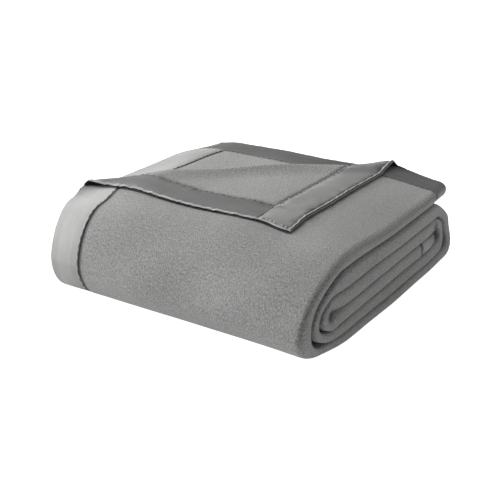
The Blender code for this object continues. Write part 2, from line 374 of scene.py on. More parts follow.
def square_end(x, height, thickness, v):
    """Presses the rounded right end of each layer towards a soft rectangle, the inner ones most."""
    wound = smooth_rise(v, PART_LENGTHS[1], PART_LENGTHS[3])
    power = OUTER_SQUARENESS + (INNER_SQUARENESS - OUTER_SQUARENESS) * wound
    past = np.maximum(x - RIGHT_FOLD_X, 0) / (STRIP_WIDTH - RIGHT_FOLD_X)
    up = np.abs(height) / (thickness / 2)
    far = np.maximum(np.hypot(past, up), TINY)
    push = np.maximum((past / far) ** power + (up / far) ** power, TINY) ** (-1 / power)
    push = np.where(past > 0, push, 1.0)
    return RIGHT_FOLD_X + (x - RIGHT_FOLD_X) * push, height * push


def lean(x, y, z):
    """Draws in the front left of the pile, swells its front right and lowers its right end."""
    right = x / STRIP_WIDTH
    draw = FRONT_LEFT_DRAW * (1 - right) * np.maximum(0.0, 1 - y / FRONT_LEFT_REACH)
    swell = FRONT_RIGHT_SWELL * right * np.maximum(0.0, 1 - y / FRONT_RIGHT_REACH) ** 2
    low = np.maximum(0.0, 1 - z / BOTTOM_TUCK_HEIGHT)
    swell *= 1 - FRONT_FOOT_DRAW * low
    tuck = BOTTOM_TUCK * (1 - smooth_rise(y, 0, BOTTOM_TUCK_REACH)) * low ** 2
    tuck *= smooth_rise(x, *BOTTOM_TUCK_FADE)
    return x - tuck, y + draw - swell, z * (1 - RIGHT_END_DROP * right)


print("the pile's front left is drawn in by", round(1000 * FRONT_LEFT_DRAW), "mm")

# %% The wound end
WOUND_END_FADE = (0.20, 0.38)
FLOOR_FADE = 0.02
WOUND_END = metres(
    # y, z, reach to the front, to the back and upwards, then the moves along x, y and z;
    # the front turns are pulled tight, the bottom layer spreads, the back turn sags and the foot draws in
    (85, 50, 45, 200, 35, 0, -26, -3),
    (240, 0, 150, 150, 20, 5, 0, 0),
    (430, 85, 60, 60, 30, -8, -4, -6),
    (430, 38, 70, 60, 25, -8.5, -2, 0),
    (12, 4, 40, 50, 22, -7, 2, 0),
)


def tighten(x, y, z):
    """Moves the wound right end by each row of its table; this fades out towards the left."""
    fade = smooth_rise(x, *WOUND_END_FADE)
    moves = np.zeros((3, len(x)))
    for at_y, at_z, reach_front, reach_back, reach_z, *move in WOUND_END:
        along = (y - at_y) / np.where(y < at_y, reach_front, reach_back)
        moves += fade * bell(along, (z - at_z) / reach_z) * np.array(move)[:, None]
    moves[2] *= np.clip(z / FLOOR_FADE, 0, 1)
    return x + moves[0], y + moves[1], z + moves[2]


print("the wound end has", len(WOUND_END), "moves")

# %% Humps and sags
WAVE_UP, WAVE_OUT, WAVE_ENDWAYS = 0.0010, 0.0018, 0.0008
WAVES_UP, WAVES_OUT, WAVES_ENDWAYS = 0.110, 0.120, 0.110
OUT_FADE = 0.03
ENDWAYS_FADE = (0.30, 0.38)
LEVEL_SWELLS = metres(  # x, y, reach along x and y, depth, then the moves along x, y and z
    # the bound left edge is thinner than the fleece, so it droops, and the fleece beside it crowns
    (0, 260, 22, 300, 130, 0, 0, -1.9),
    (0, 400, 30, 60, 130, 0, 0, -5.3),
    (62, 180, 45, 110, 130, 0, 0, 6.6),
    # the back corners hang and are rounded in
    (0, 430, 45, 50, 130, 12.9, 1.6, -2),
    (386, 430, 45, 60, 50, -9, -1.5, -3),
    # the back edge and the front left shoulder sink
    (200, 430, 120, 60, 130, 0, 0, -2.6),
    (30, 95, 60, 30, 90, 0, 0.8, -9.6),
    # the flap's tip is drawn back and presses into the cloth below
    (300, 110, 45, 35, 60, 0, 10.5, -4.7),
    # the top layer slopes off before it turns down at the right, and dips behind the flap
    (400, 220, 50, 400, 30, 0, 0, -8.6),
    (330, 360, 50, 60, 60, 0, 0, -2),
    (386, 300, 80, 120, 130, 0, 0, -2.9),
)
DIAGONAL_SWELLS = metres(  # the same, but the reaches lie along and across the corner's fold
    # the corner's roll stands up along its middle and at its back end, and is pinched at its front end
    (150, 290, 80, 20, 60, 0, 0, 8.4),
    (300, 415, 30, 25, 130, 0, 0, 4.5),
    (0, 115, 22, 30, 130, 0, 0, -2.6),
    (42, 158, 45, 22, 12, 0, 0, -5.5),
    (0, 112, 26, 24, 10, -4.5, 0, 4),
)
HIGHEST = 1.1  # a swell goes on growing a little above the top layer


def settle(x, y, z):
    """Moves the pile by each row of the table, fully at its top and not at all below the row's depth."""
    moves = np.zeros((3, len(x)))
    for table, turn in ((LEVEL_SWELLS, 0), (DIAGONAL_SWELLS, -pi / 4)):
        for at_x, at_y, reach_along, reach_across, depth, *move in table:
            along = (x - at_x) * cos(turn) - (y - at_y) * sin(turn)
            across = (x - at_x) * sin(turn) + (y - at_y) * cos(turn)
            share = np.clip((z - TOP_Z) / depth + 1, 0, HIGHEST) ** 2
            near = share * bell(along / reach_along, across / reach_across)
            moves += near * np.array(move)[:, None]
    places = np.stack([x, y, z], axis=1)
    high = np.clip(z / TOP_Z, 0, HIGHEST) ** 2
    endways = smooth_rise(x, *ENDWAYS_FADE)
    moves[2] += WAVE_UP * high * gentle_waves(places, WAVES_UP, 21)
    moves[1] += WAVE_OUT * np.clip(z / OUT_FADE, 0, 1) * gentle_waves(places, WAVES_OUT, 22)
    moves[0] += WAVE_ENDWAYS * endways * gentle_waves(places * (1, 1, 3), WAVES_ENDWAYS, 23)
    return x + moves[0], y + moves[1], z + moves[2]


print("humps and sags:", len(LEVEL_SWELLS) + len(DIAGONAL_SWELLS))

# %% The whole fold
HOLLOW_DEPTH = (0.120, 0.180)
HOLLOW_BLEND = 0.0006
HOLLOWS = metres((-149, 44.6, 8.5, 14, 8))  # y, z, reach along y, reach along z, how far it opens


def open_hollows(x, y, z):
    """Opens the creases a little at the wound end, where a turn of the cloth doesn't quite close."""
    depth = smooth_rise(x, *HOLLOW_DEPTH)
    for at_y, at_z, reach_y, reach_z, opening in HOLLOWS:
        near = depth * bell((y - at_y) / reach_y, (z - at_z) / reach_z)
        z = z + opening * near * np.tanh((z - at_z) / HOLLOW_BLEND)
    return z


def folded(flat):
    """The folded places of points (u, v, h) of the flat blanket."""
    u, v, h = pucker(*flat.T)
    u, v, h = turn_corner(pull_tip(u, v), v, h)
    x, height, x_share, height_share = across_strip(u)
    y, z, normal_y, normal_z, thickness = along_strip(v)
    squeeze = np.minimum(1.0, thickness / STRIP_THICKNESS)
    spread = (thickness - FLEECE_THICKNESS * squeeze) / (3 * PLY_PITCH)
    x = x + squeeze * x_share * h
    height = spread * height + squeeze * height_share * h
    x, height = square_end(x, height, thickness, v)
    x, y, z = lean(*settle(*tighten(x, y + normal_y * height, z + normal_z * height)))
    x, y = x + PILE_X, y + PILE_Y
    return np.stack([x, y, open_hollows(x, y, z)], axis=1)


corners = folded(np.array([[0, 0, 0], [RIGHT_FOLD_X, 0, 0]], float))
print("folded corners, mm:", (1000 * corners).round().astype(int).tolist())

# %% [markdown]
# ## From flat cloth to folded cloth
#
# Every piece starts as a flat grid, with its columns and rows closest where the cloth bends. Before it is
# folded, its flat place is kept as a UV map in metres, so that the nap and the weave follow the cloth.

# %% Meshes and flat cloth
def steps_between(marks, sizes):
    """Places along a line through the marks, with steps near the size given for each stretch."""
    places = []
    for start, end, size in zip(marks, marks[1:], sizes):
        count = max(1, round((end - start) / size))
        places += list(start + (end - start) * np.arange(count) / count)
    return np.array(places + [marks[-1]])


def mesh_points(piece):
    """The piece's points, one row each."""
    points = np.empty(len(piece.data.vertices) * 3)
    piece.data.vertices.foreach_get("co", points)
    return points.reshape(-1, 3)


def put_points(piece, points):
    """Moves the piece's points to these rows."""
    piece.data.vertices.foreach_set("co", points.ravel())
    piece.data.update()


def add_object(name, data):
    """A new object in the scene."""
    added = bpy.data.objects.new(name, data)
    bpy.context.scene.collection.objects.link(added)
    return added


def change_mesh(mesh, change):
    """Changes a mesh by a function that works on its bmesh."""
    bm = bmesh.new()
    bm.from_mesh(mesh)
    change(bm)
    bm.to_mesh(mesh)
    bm.free()


def flat_cloth(name, us, vs):
    """A flat grid with its columns at us and its rows at vs."""
    bpy.ops.mesh.primitive_grid_add(
        x_subdivisions=len(us) - 1, y_subdivisions=len(vs) - 1, size=2, calc_uvs=False
    )
    cloth = bpy.context.active_object
    cloth.name = cloth.data.name = name
    flat_u, flat_v = np.tile(us, len(vs)), np.repeat(vs, len(us))
    put_points(cloth, np.stack([flat_u, flat_v, 0 * flat_u], axis=1))
    return cloth


print("steps, for example, mm:", (1000 * steps_between([0, 0.01, 0.03], [0.005, 0.01])).tolist())

# %% Getting a flat piece ready to fold
ROLL_CUTS = 10
SETTLE_CUTS = (0.15, 0.3, 0.5, 0.75, 1)
CUT_REACH = 0.03
CUT_CLEARANCE = 1e-6


def cut_roll(bm):
    """Cuts the corner along lines that run with the diagonal fold, so that it can bend round it."""
    roll = pi * CORNER_ROLL
    lines = [roll * step / ROLL_CUTS for step in range(ROLL_CUTS + 1)]
    lines += [roll + CORNER_SETTLE * part for part in SETTLE_CUTS]
    for past in lines:
        place = DIAGONAL / 2 - past / sqrt(2)
        near = []
        for face in bm.faces:
            u, v, _ = face.calc_center_median()
            if abs(u + v - 2 * place) < CUT_REACH:
                near.append(face)
        edges = {edge for face in near for edge in face.edges}
        verts = {vert for face in near for vert in face.verts}
        geometry = [*near, *edges, *verts]
        cut = {"plane_co": (place, place, 0), "plane_no": (1, 1, 0), "dist": CUT_CLEARANCE}
        bmesh.ops.bisect_plane(bm, geom=geometry, **cut)
    bmesh.ops.triangulate(bm, faces=[face for face in bm.faces if len(face.verts) > 4])


def keep_flat_places(piece):
    """Keeps each corner's flat place, in metres, as the piece's UV map."""
    layer = piece.data.uv_layers.new(name="flat")
    points = mesh_points(piece)
    index = np.empty(len(piece.data.loops), int)
    piece.data.loops.foreach_get("vertex_index", index)
    layer.data.foreach_set("uv", points[index, :2].ravel())


print("the roll is cut into", ROLL_CUTS, "strips")

# %% Places that are shut in, where shade is painted
# how far the painted shade reaches out of the roll and in from the flap's edge
ROLL_SHADE_REACH = 0.032
UNDER_EDGE_SHADE = 0.006
CREASE_START = 0.15
CREASE_FULL = 0.625
# painted shade in two creases at the wound end
CREASE_SHADES = metres((-156, 45.2, 7.2, 6.2), (160, 47, 6, 10))  # y, z, reach along y, reach along z


def keep_painted_shade(piece, places):
    """Keeps how far each point is shut in, in a roll, a crease or under an edge: 0 open, 1 shut in. The
    materials paint shade by it.
    """
    u, v, h = mesh_points(piece).T
    past = (DIAGONAL - u - v) / sqrt(2)
    in_roll = 1 - smooth_rise(np.abs(past - pi * CORNER_ROLL / 2), 0, ROLL_SHADE_REACH)
    under_edge = (1 - smooth_rise(u, 0, UNDER_EDGE_SHADE)) * (past > 0)
    shut_in = np.maximum(in_roll, under_edge) * (h > 0)
    x, y, z = places.T
    for at_y, at_z, reach_y, reach_z in CREASE_SHADES:
        near = smooth_rise(bell((y - at_y) / reach_y, (z - at_z) / reach_z), 0, CREASE_FULL)
        shut_in = np.maximum(shut_in, near * (x > CREASE_START))
    layer = piece.data.attributes.new("shut_in", "FLOAT", "POINT")
    layer.data.foreach_set("value", shut_in)


print("shade reaches", round(1000 * ROLL_SHADE_REACH), "mm out of the roll")

# %% Folding a piece up
SHARP_ANGLE = radians(50)


def fold_up(piece, crosses_corner=True):
    """Carries a flat piece to its place in the pile."""
    if crosses_corner:
        change_mesh(piece.data, cut_roll)
    keep_flat_places(piece)
    places = folded(mesh_points(piece))
    # keeps where shade is to be painted on the piece
    keep_painted_shade(piece, places)
    put_points(piece, places)
    piece.data.flip_normals()
    piece.data.shade_smooth()
    piece.data.set_sharp_from_angle(angle=SHARP_ANGLE)
    print(piece.name + ":", sum(len(face.vertices) - 2 for face in piece.data.polygons), "triangles")


print("edges sharper than", round(SHARP_ANGLE, 2), "radians stay sharp")

# %% [markdown]
# ## The fleece
#
# One grid makes the whole panel, and the Solidify modifier gives it two faces and a rim. The thickness is
# then set point by point: a thin tongue under the binding, and a rounded shoulder where the free pile
# stands up beside the tape. That shoulder and the tape's edge make the groove along every seam, and painted
# shade darkens it.

# %% The fleece
SEAM_GAP = 0.0018
SHOULDER = 0.0055
RIM_STEP = 0.016
SHOULDER_STEP = 0.0011
TOP_STEP = 0.005
HIDDEN_STEP = 0.04
OUTER_FOLD_STEP, INNER_FOLD_STEP, LAST_PLY_STEP = 0.0020, 0.0013, 0.009
TURN_STEPS = (0.005, 0.0045, 0.0035, 0.0025)


def fleece_thickness(u, v):
    """The fleece's thickness at each flat place."""
    from_edge = np.minimum(np.minimum(u, WIDTH - u), np.minimum(v, LENGTH - v))
    rise = np.clip((from_edge - BINDING_WIDTH - SEAM_GAP) / SHOULDER, 0, 1)
    round_rise = np.sqrt(1 - (1 - rise) ** 2)
    return TONGUE_THICKNESS + (FLEECE_THICKNESS - TONGUE_THICKNESS) * round_rise


def shoulder_marks(length):
    """Where the rim, the seam and the shoulder lie at both sides of a panel of this length."""
    margin = TAPE_THICKNESS + PIECE_GAP
    start = [margin, BINDING_WIDTH + SEAM_GAP, BINDING_WIDTH + SEAM_GAP + SHOULDER]
    return start, [length - place for place in reversed(start)]


def fleece_columns():
    """Columns close together on the top ply and round the folds, and wide apart on the hidden plies."""
    start, end = shoulder_marks(WIDTH)
    folds = np.cumsum([length for length, _ in SECTION])[:-1]
    hidden = [HIDDEN_STEP, INNER_FOLD_STEP] * 2
    sizes = [RIM_STEP, SHOULDER_STEP, TOP_STEP, OUTER_FOLD_STEP, *hidden, LAST_PLY_STEP]
    return steps_between([*start, *folds, *end], [*sizes, SHOULDER_STEP, RIM_STEP])


def fleece_rows():
    """Rows close together on the top layer and round the turns."""
    start, end = shoulder_marks(LENGTH)
    marks = [*start, PART_LENGTHS[1], PART_LENGTHS[3]]
    sizes = [RIM_STEP, SHOULDER_STEP, TOP_STEP, TOP_STEP]
    for turn, step in enumerate(TURN_STEPS):
        marks += [PART_LENGTHS[4 + 3 * turn], PART_LENGTHS[6 + 3 * turn]]
        sizes += [RIM_STEP, step]
    return steps_between([*marks, *end], [*sizes, RIM_STEP, SHOULDER_STEP, RIM_STEP])


fleece = flat_cloth("fleece_cloth", fleece_columns(), fleece_rows())
solidify = fleece.modifiers.new("thickness", "SOLIDIFY")
solidify.thickness = 1.0
solidify.offset = 0.0
bpy.ops.object.modifier_apply(modifier=solidify.name)
points = mesh_points(fleece)
points[:, 2] *= fleece_thickness(points[:, 0], points[:, 1])
put_points(fleece, points)
fold_up(fleece)

# %% [markdown]
# ## The satin binding
#
# Real binding is a wide satin tape folded over the edge and sewn through near its inner edges. Here it is
# made from its cross-section: a closed line round the outside, over the nose and back along the inside. A
# grid with one column per point of that line is bent into it and welded shut, and its rows follow the
# edge. A pressed line near the nose and a dip at the stitching catch the light as the sewn tape does.

# %% The tape's cross-section
NOSE_STEPS = 5
TAPE_INSIDE = TONGUE_THICKNESS / 2 + PIECE_GAP
TAPE_OUTSIDE = TAPE_INSIDE + TAPE_THICKNESS
PRESSED_WITHIN = 0.0105
INNER_LINE_END = 0.012
OUTER_LINE = metres(  # inward from the edge, how far below full height
    (48, 0.62), (47.4, 0.25), (46.2, 0.08), (44.8, 0.3), (43.4, 0.05), (40, -0.1), (32, -0.15), (24, -0.2),
    (16, -0.15), (10, 0), (6.8, 0.15), (5.4, 0.4), (4.6, 0.62), (3.8, 0.25), (3, -0.2), (2.1, -0.4),
)


def mirrored(line):
    """A line that runs on to its mirror image on the tape's other face."""
    return line + [(inward, -height) for inward, height in reversed(line[:-1])]


def tape_profile(pressed):
    """One closed turn round the doubled tape: distance in from the edge, and height."""
    angles = pi / 2 + pi / 2 * np.arange(NOSE_STEPS + 1) / NOSE_STEPS
    inward, below = OUTER_LINE.T
    if not pressed:
        below = below * (inward > PRESSED_WITHIN)
    outer = list(zip(inward, TAPE_OUTSIDE - below))
    outer += [(TAPE_OUTSIDE + TAPE_OUTSIDE * cos(a), TAPE_OUTSIDE * sin(a)) for a in angles]
    inner = [(inward, TAPE_INSIDE) for inward in np.linspace(BINDING_WIDTH, INNER_LINE_END, 4)]
    inner += [(TAPE_OUTSIDE + TAPE_INSIDE * cos(a), TAPE_INSIDE * sin(a)) for a in angles]
    return np.array(mirrored(outer) + mirrored(inner)[::-1] + outer[:1])


print("one turn round the tape has", len(tape_profile(True)), "points")

# %% Bending a tape round an edge
# where each edge is, which way is inwards from it, and along which of u (0) and v (1)
FIRST_SIDE, SECOND_SIDE = (0, 1, 0), (WIDTH, -1, 0)
OUTER_END, INNER_END = (0, 1, 1), (LENGTH, -1, 1)
PRESSED_FADE = 0.03
WELD_DISTANCE = 1e-7


def weld_shut(bm):
    """Welds a bent grid into a closed tube with its two ends filled."""
    bmesh.ops.remove_doubles(bm, verts=bm.verts, dist=WELD_DISTANCE)
    bmesh.ops.holes_fill(bm, edges=[edge for edge in bm.edges if edge.is_boundary], sides=0)
    bmesh.ops.recalc_face_normals(bm, faces=bm.faces)


def beside(edge, inward, along, height):
    """Flat places (u, v, h) of points this far in from an edge and along it."""
    start, way, axis = edge
    flat = [start + way * inward, along]
    return np.stack([flat[axis], flat[1 - axis], height], axis=-1)


def binding_tape(name, edge, alongs, pressed_to):
    """A length of doubled tape round one edge, pressed near its nose up to a place along it."""
    profile, smooth = tape_profile(True), tape_profile(False)
    tape = flat_cloth(name, np.arange(len(profile)), np.arange(len(alongs)))
    column, row, _ = mesh_points(tape).astype(int).T
    pressed = 1 - smooth_rise(alongs[row], pressed_to, pressed_to + PRESSED_FADE)
    heights = smooth[column, 1] + pressed * (profile[column, 1] - smooth[column, 1])
    put_points(tape, beside(edge, profile[column, 0], alongs[row], heights))
    change_mesh(tape.data, weld_shut)
    fold_up(tape)
    return tape


print("welded within", 1000 * WELD_DISTANCE, "mm")

# %% The four tapes
FINE_STEP = 0.0025
STRETCH_MARGIN = 0.001


def tape_rows(cloth_places, low, high, fine_stretches):
    """Places along a tape: those of the cloth, but close together in the stretches that show."""
    first, last = low + STRETCH_MARGIN, high - STRETCH_MARGIN
    coarse = [place for place in cloth_places if first < place < last]
    fine = []
    for start, end in fine_stretches:
        start, end = max(start, first), min(end, last)
        coarse = [place for place in coarse if not start - STRETCH_MARGIN < place < end + STRETCH_MARGIN]
        fine += list(np.linspace(start, end, max(2, round((end - start) / FINE_STEP))))
    return np.array([low, *sorted(coarse + fine), high])


SIDE_START = BINDING_WIDTH + PIECE_GAP
SECOND_PLY_SHOWS = 0.36
NOT_PRESSED = -1.0
SIDE_SHOWS = [(0, PART_LENGTHS[3])]
END_SHOWS = [(0, RIGHT_FOLD_X), (WIDTH - SECOND_PLY_SHOWS, WIDTH)]
side_rows = tape_rows(fleece_rows(), SIDE_START, LENGTH - SIDE_START, SIDE_SHOWS)
end_rows = tape_rows(fleece_columns(), 0, WIDTH, END_SHOWS)
outer_side_tape = binding_tape("side_tape_outer_ply", FIRST_SIDE, side_rows, DIAGONAL - PRESSED_FADE)
second_side_tape = binding_tape("side_tape_second_ply", SECOND_SIDE, side_rows, NOT_PRESSED)
top_end_tape = binding_tape("end_tape_top", OUTER_END, end_rows, DIAGONAL)
core_end_tape = binding_tape("end_tape_core", INNER_END, end_rows, WIDTH)

# %% [markdown]
# ## The stitching
#
# A line of dark stitches holds each tape, uneven in length and spacing. There are over a thousand, so one
# is modelled with a few faces, copied along the seams in the flat, and folded up with the tape.

# %% One stitch and its copies
STITCH_SIZE = (0.0011, 0.0007)  # across, high
BEAD_SIZE = (0.0019, 0.0015)
DASH_SIZE = (0.0019, 0.0010)
SEAM_INSET = 0.0012
STITCH_SINK = 0.0001
BLUNTNESS = 0.7


def one_stitch():
    """A small rounded stitch, one unit long in y, as points and faces."""
    bpy.ops.mesh.primitive_uv_sphere_add(segments=6, ring_count=5, radius=0.5)
    stitch = bpy.context.active_object
    points = mesh_points(stitch)[:, [0, 2, 1]]
    points[:, 1] = np.abs(2 * points[:, 1]) ** BLUNTNESS * np.sign(points[:, 1]) / 2
    faces = [tuple(face.vertices) for face in stitch.data.polygons]
    bpy.data.objects.remove(stitch)
    return points, faces


STITCH_POINTS, STITCH_FACES = one_stitch()


def stitches(name, rows, size):
    """One piece from rows of flat x and y, length, turn, and the side of the tape that it lies on."""
    points, faces = [], []
    for x, y, length, turn, side in rows:
        first = len(points) * len(STITCH_POINTS)
        faces += [tuple(first + corner for corner in face) for face in STITCH_FACES]
        across, along, up = (STITCH_POINTS * (size[0], length, size[1])).T
        points.append(np.stack([
            x + across * cos(turn) - along * sin(turn),
            y + across * sin(turn) + along * cos(turn),
            side * (TAPE_OUTSIDE - STITCH_SINK) + up,
        ], axis=1))
    mesh = bpy.data.meshes.new(name)
    mesh.from_pydata(np.concatenate(points).tolist(), [], faces)
    piece = add_object(name, mesh)
    change_mesh(mesh, lambda bm: bmesh.ops.recalc_face_normals(bm, faces=bm.faces))
    fold_up(piece, crosses_corner=False)
    return piece


print("one stitch has", len(STITCH_FACES), "faces")

# %% Stitching along the seams
SEAM_END = BINDING_WIDTH + 0.002
SEAM_MARGIN = 0.004
STITCH_LENGTHS = (0.0034, 0.0076)
STITCH_GAPS = (0.0018, 0.0048)
STITCH_WANDER, STITCH_TURN = 0.0002, 0.05


def seam_rows(edge, end, seed):
    """Uneven stitches along the tape at an edge, on both its faces."""
    random = np.random.default_rng(seed)
    rows = []
    for side in (1, -1):
        along = SEAM_END + SEAM_MARGIN
        while along < end - SEAM_END - SEAM_MARGIN:
            length = random.uniform(*STITCH_LENGTHS)
            inward = BINDING_WIDTH - SEAM_INSET + random.normal(0, STITCH_WANDER)
            x, y, _ = beside(edge, inward, along + length / 2, 0.0)
            turn = random.normal(0, STITCH_TURN) + edge[2] * pi / 2
            rows.append((x, y, length, turn, side))
            along += length + random.uniform(*STITCH_GAPS)
    return rows


side_seam = seam_rows(FIRST_SIDE, LENGTH, 31)
second_seam = seam_rows(SECOND_SIDE, LENGTH, 32)
end_seams = seam_rows(OUTER_END, WIDTH, 33) + seam_rows(INNER_END, WIDTH, 34)
side_stitching = stitches("side_seam_stitching", side_seam, STITCH_SIZE)
second_stitching = stitches("second_seam_stitching", second_seam, DASH_SIZE)

# %% [markdown]
# ## Closing the corners
#
# The ends of an end tape stick out past the side tapes and are open when cut, so a maker closes each with a
# tight zigzag. It reads as a row of pale beads with dark holes between them, where the needle went through.
# The holes are dark dashes of painted shade.

# %% Closing the ends of the end tapes
BEAD_COUNT = 7
BEAD_STEP = 0.0056
BEAD_START, BEAD_INSET = 0.005, 0.0056
BEAD_LENGTH = 0.0034
BEAD_TURN = 0.6

beads, gaps = [], []
for near_y, side_y, _ in (OUTER_END, INNER_END):
    for near_x, side_x, _ in (FIRST_SIDE, SECOND_SIDE):
        for side in (1, -1):
            for number in range(BEAD_COUNT):
                x = near_x + side_x * BEAD_INSET
                y = near_y + side_y * (BEAD_START + number * BEAD_STEP)
                beads.append((x, y, BEAD_LENGTH, pi / 2 + BEAD_TURN, side))
                gaps.append((x, y + side_y * BEAD_STEP / 2, BEAD_LENGTH, BEAD_TURN, side))
tip_stitching = stitches("tip_zigzag_stitching", beads, BEAD_SIZE)
# dark dashes of painted shade in the needle holes between the beads
tip_hole_shade = stitches("tip_needle_hole_shade", gaps, DASH_SIZE)
end_stitching = stitches("end_seam_stitching", end_seams, STITCH_SIZE)

# %% [markdown]
# ## Finishes
#
# Both cloths share one effect: soft blotches that vary over the cloth, as handling and uneven brushing
# leave them. It is a node group, built once and placed in each material with its own values.

# %% Making nodes
NODE_SPACING = 220
NODES_A_ROW = 6


def give(socket, value):
    """Sets a node's input to a value, or links it to another node's output."""
    if isinstance(value, bpy.types.NodeSocket):
        socket.id_data.links.new(value, socket)
    else:
        socket.default_value = value


def feed(node, **inputs):
    """Gives each named input its value."""
    for name, value in inputs.items():
        give(node.inputs[name.replace("_", " ")], value)


def add_node(tree, kind, **inputs):
    """A node of this kind, set out in rows in the editor, with its named inputs fed."""
    row, column = divmod(len(tree.nodes), NODES_A_ROW)
    node = tree.nodes.new(kind)
    node.location = (NODE_SPACING * column, -NODE_SPACING * row)
    feed(node, **inputs)
    return node


def calculated(tree, operation, *values):
    """The sum, difference, product or smaller value of two outputs or numbers."""
    node = add_node(tree, "ShaderNodeMath")
    node.operation = operation
    for socket, value in zip(node.inputs, values):
        give(socket, value)
    return node.outputs[0]


def ranged(tree, value, start, end, low, high):
    """A value that goes softly from low to high as the given value goes from start to end."""
    node = add_node(tree, "ShaderNodeMapRange", Value=value, From_Min=start, From_Max=end)
    feed(node, To_Min=low, To_Max=high)
    node.interpolation_type = "SMOOTHSTEP"
    return node.outputs["Result"]


print("nodes are set out", NODES_A_ROW, "to a row")

# %% Colours and bumps
COLOUR_A, COLOUR_B, COLOUR_RESULT = 6, 7, 2  # the Mix node's colour sockets


def toned(tree, tone, dark, light, spread):
    """A colour that goes from dark to light as the tone passes from under to over a half."""
    ramp = add_node(tree, "ShaderNodeValToRGB", Fac=tone)
    for stop, place, colour in zip(ramp.color_ramp.elements, (0.5 - spread, 0.5 + spread), (dark, light)):
        stop.position = place
        stop.color = (*colour, 1)
    return ramp.outputs["Color"]


def multiplied(tree, colour, *others):
    """A colour multiplied by each of the others in turn."""
    for other in others:
        mix = add_node(tree, "ShaderNodeMix", Factor=1.0)
        mix.data_type = "RGBA"
        mix.blend_type = "MULTIPLY"
        give(mix.inputs[COLOUR_A], colour)
        give(mix.inputs[COLOUR_B], other)
        colour = mix.outputs[COLOUR_RESULT]
    return colour


def bumped(tree, height, **inputs):
    """A bump from a height; an earlier bump's normal can be among its inputs."""
    return add_node(tree, "ShaderNodeBump", Height=height, **inputs).outputs["Normal"]


print("colours mix at sockets", COLOUR_A, "and", COLOUR_B)

# %% A shared mottle
BROAD_FINENESS = 0.28


def mottle_group():
    """Two sizes of noise mixed into one even-handed value round a half."""
    group = bpy.data.node_groups.new("cloth_mottle", "ShaderNodeTree")
    for name, kind in (("Place", "Vector"), ("Fineness", "Float"), ("Broad", "Float")):
        group.interface.new_socket(name, in_out="INPUT", socket_type="NodeSocket" + kind)
    group.interface.new_socket("Tone", in_out="OUTPUT", socket_type="NodeSocketFloat")
    place, fineness, share = list(add_node(group, "NodeGroupInput").outputs)[:3]
    coarse = calculated(group, "MULTIPLY", fineness, BROAD_FINENESS)
    fine = add_node(group, "ShaderNodeTexNoise", Vector=place, Scale=fineness, Detail=3.0, Roughness=0.6)
    broad = add_node(group, "ShaderNodeTexNoise", Vector=place, Scale=coarse, Detail=2.0, Roughness=0.5)
    mix = add_node(group, "ShaderNodeMix", Factor=share, A=fine.outputs["Fac"], B=broad.outputs["Fac"])
    add_node(group, "NodeGroupOutput", Tone=mix.outputs["Result"])
    return group


MOTTLE = mottle_group()
print("shared effect:", MOTTLE.name)

# %% Parts that every cloth material starts with
def new_material(name):
    """A new material, its node tree and its shader."""
    material = bpy.data.materials.new(name)
    material.use_nodes = True
    return material, material.node_tree, material.node_tree.nodes["Principled BSDF"]


def cloth_material(name):
    """The same, with the flat place on the cloth."""
    material, tree, shader = new_material(name)
    place = add_node(tree, "ShaderNodeUVMap")
    place.uv_map = "flat"
    return material, tree, shader, place.outputs["UV"]


def stretched(tree, place, stretch, along_v=True):
    """The flat place with its pattern drawn out along the blanket, or across it."""
    scale = (1, stretch, 1) if along_v else (stretch, 1, 1)
    return add_node(tree, "ShaderNodeMapping", Vector=place, Scale=scale).outputs["Vector"]


def mottle(tree, place, fineness, broad=0.5):
    """The shared mottle placed in a material, with this share of broad blotches."""
    node = add_node(tree, "ShaderNodeGroup")
    node.node_tree = MOTTLE
    feed(node, Place=place, Fineness=fineness, Broad=broad)
    return node.outputs["Tone"]


print("the pattern lies on the UV map", fleece.data.uv_layers[0].name)

# %% [markdown]
# ## The plush fleece
#
# The fleece is a dense, brushed pile: matt, finely speckled where tufts stand up or lie over, and streaked
# along the way it was brushed. Strands of hair would be truer close up, but they are heavy and are lost
# in an exported model, so the tufts are a colour speckle with bump, and a sheen gives the soft rim light.

# %% Painted shade in the grooves and under the flap
# painted shade along the seam's groove, and in a line where the flap's front edge lies on the fleece
GROOVE_WIDTH = 0.007
GROOVE_SHADE_TONES = (0.85, 0.06)  # beside the turned-back corner, and beyond it
GROOVE_CHANGE = (0.27, 0.33)
CONTACT_WIDTH, CONTACT_SHADE_TONE = 0.0024, 0.15
# how dark the painted shade is where the cloth is shut in
PAINTED_SHADE_TONE = 0.12


def edge_distance(tree, place):
    """The flat place's u and v, and its distance from the blanket's nearest edge."""
    u, v, _ = add_node(tree, "ShaderNodeSeparateXYZ", Vector=place).outputs
    near_u = calculated(tree, "MINIMUM", u, calculated(tree, "SUBTRACT", WIDTH, u))
    near_v = calculated(tree, "MINIMUM", v, calculated(tree, "SUBTRACT", LENGTH, v))
    return u, v, calculated(tree, "MINIMUM", near_u, near_v)


